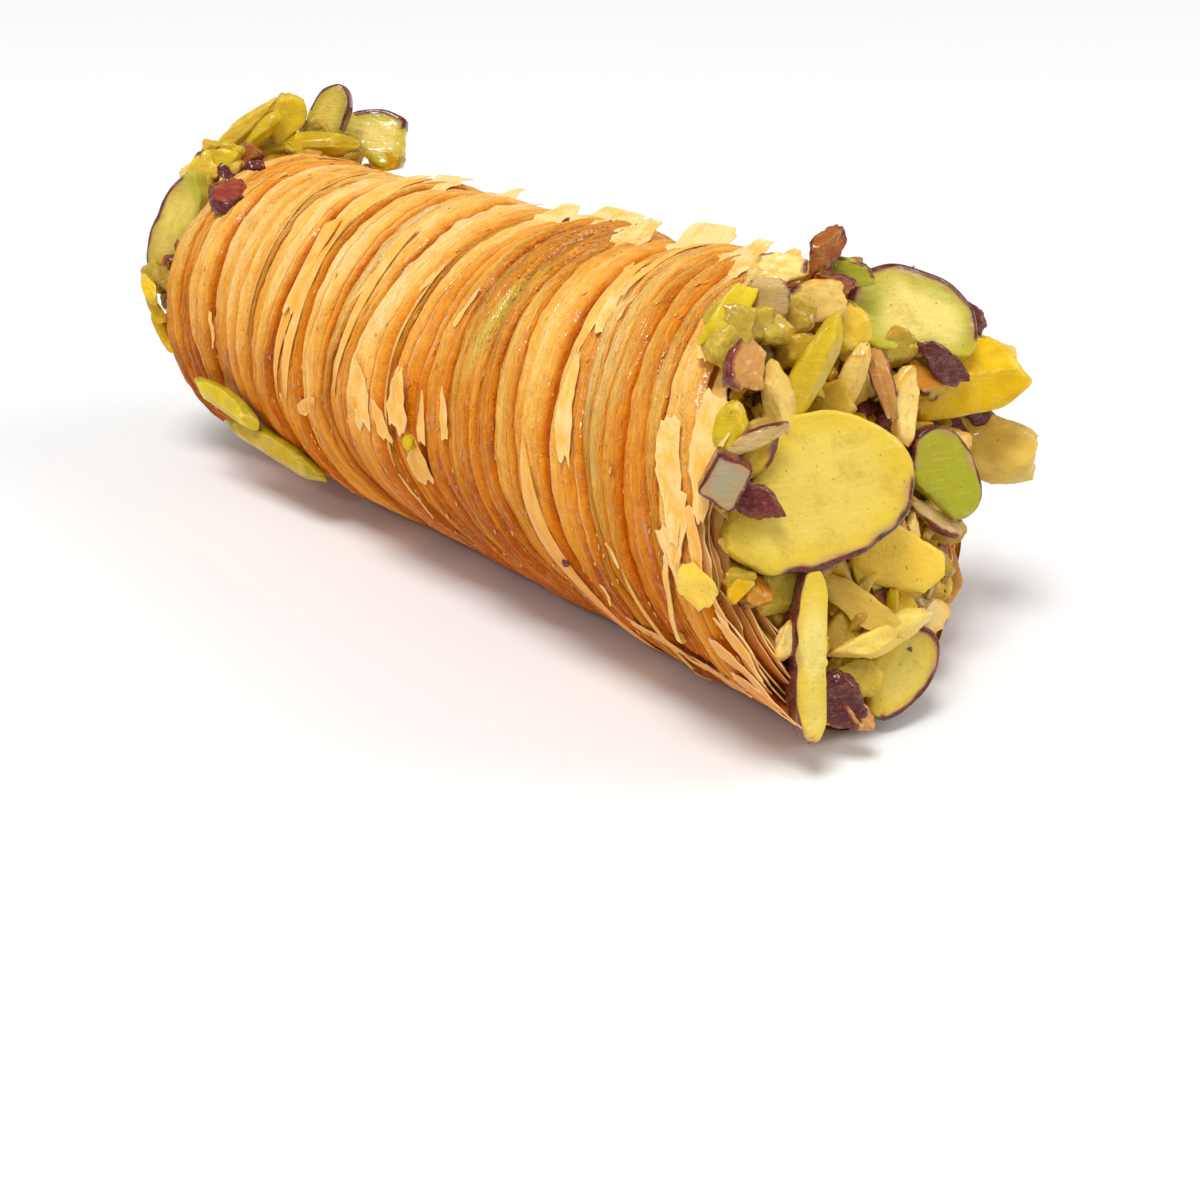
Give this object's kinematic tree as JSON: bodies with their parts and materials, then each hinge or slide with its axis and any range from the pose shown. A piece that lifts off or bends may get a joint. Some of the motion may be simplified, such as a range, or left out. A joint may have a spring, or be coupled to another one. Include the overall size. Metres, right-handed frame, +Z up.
{
  "type": "baklava roll",
  "caption": "Roll of gathered thin pastry round pistachio cream, with chopped pistachios and kernel slices heaped on both cut ends.",
  "frame": {"origin": "middle of the base of the roll's box, on the surface it rests on", "axes": "+X along the roll towards its fuller front end, +Z up, +Y across the roll"},
  "size_m": [0.1005, 0.0379, 0.0383],
  "materials": {
    "pastry": "baked thin pastry leaves, golden with browner creases, glazed with syrup",
    "pistachio_cream": "smooth satin pistachio cream",
    "chopped_nuts": "chopped pistachio, green to yellow with purple skin, sticky with syrup",
    "kernel": "cut pistachio kernel, pale yellow in the middle, greener outwards, thin purple skin"
  },
  "bodies": {
    "root": {"pastry": "pastry", "pistachio_cream": "pistachio_cream", "nuts_front": "chopped_nuts", "nuts_back": "chopped_nuts", "slice_front_broad": "kernel", "slice_front_top": "kernel", "wedge_front": "kernel", "kernel_front_green": "kernel", "slab_front": "kernel", "sliver_front_long": "kernel", "slice_front_low": "kernel", "slice_back_side": "kernel", "sliver_back_top": "kernel", "slice_back_peak": "kernel", "slice_back_far": "kernel", "sliver_flank_rear": "kernel", "sliver_flank_front": "kernel"}
  },
  "joints": []
}
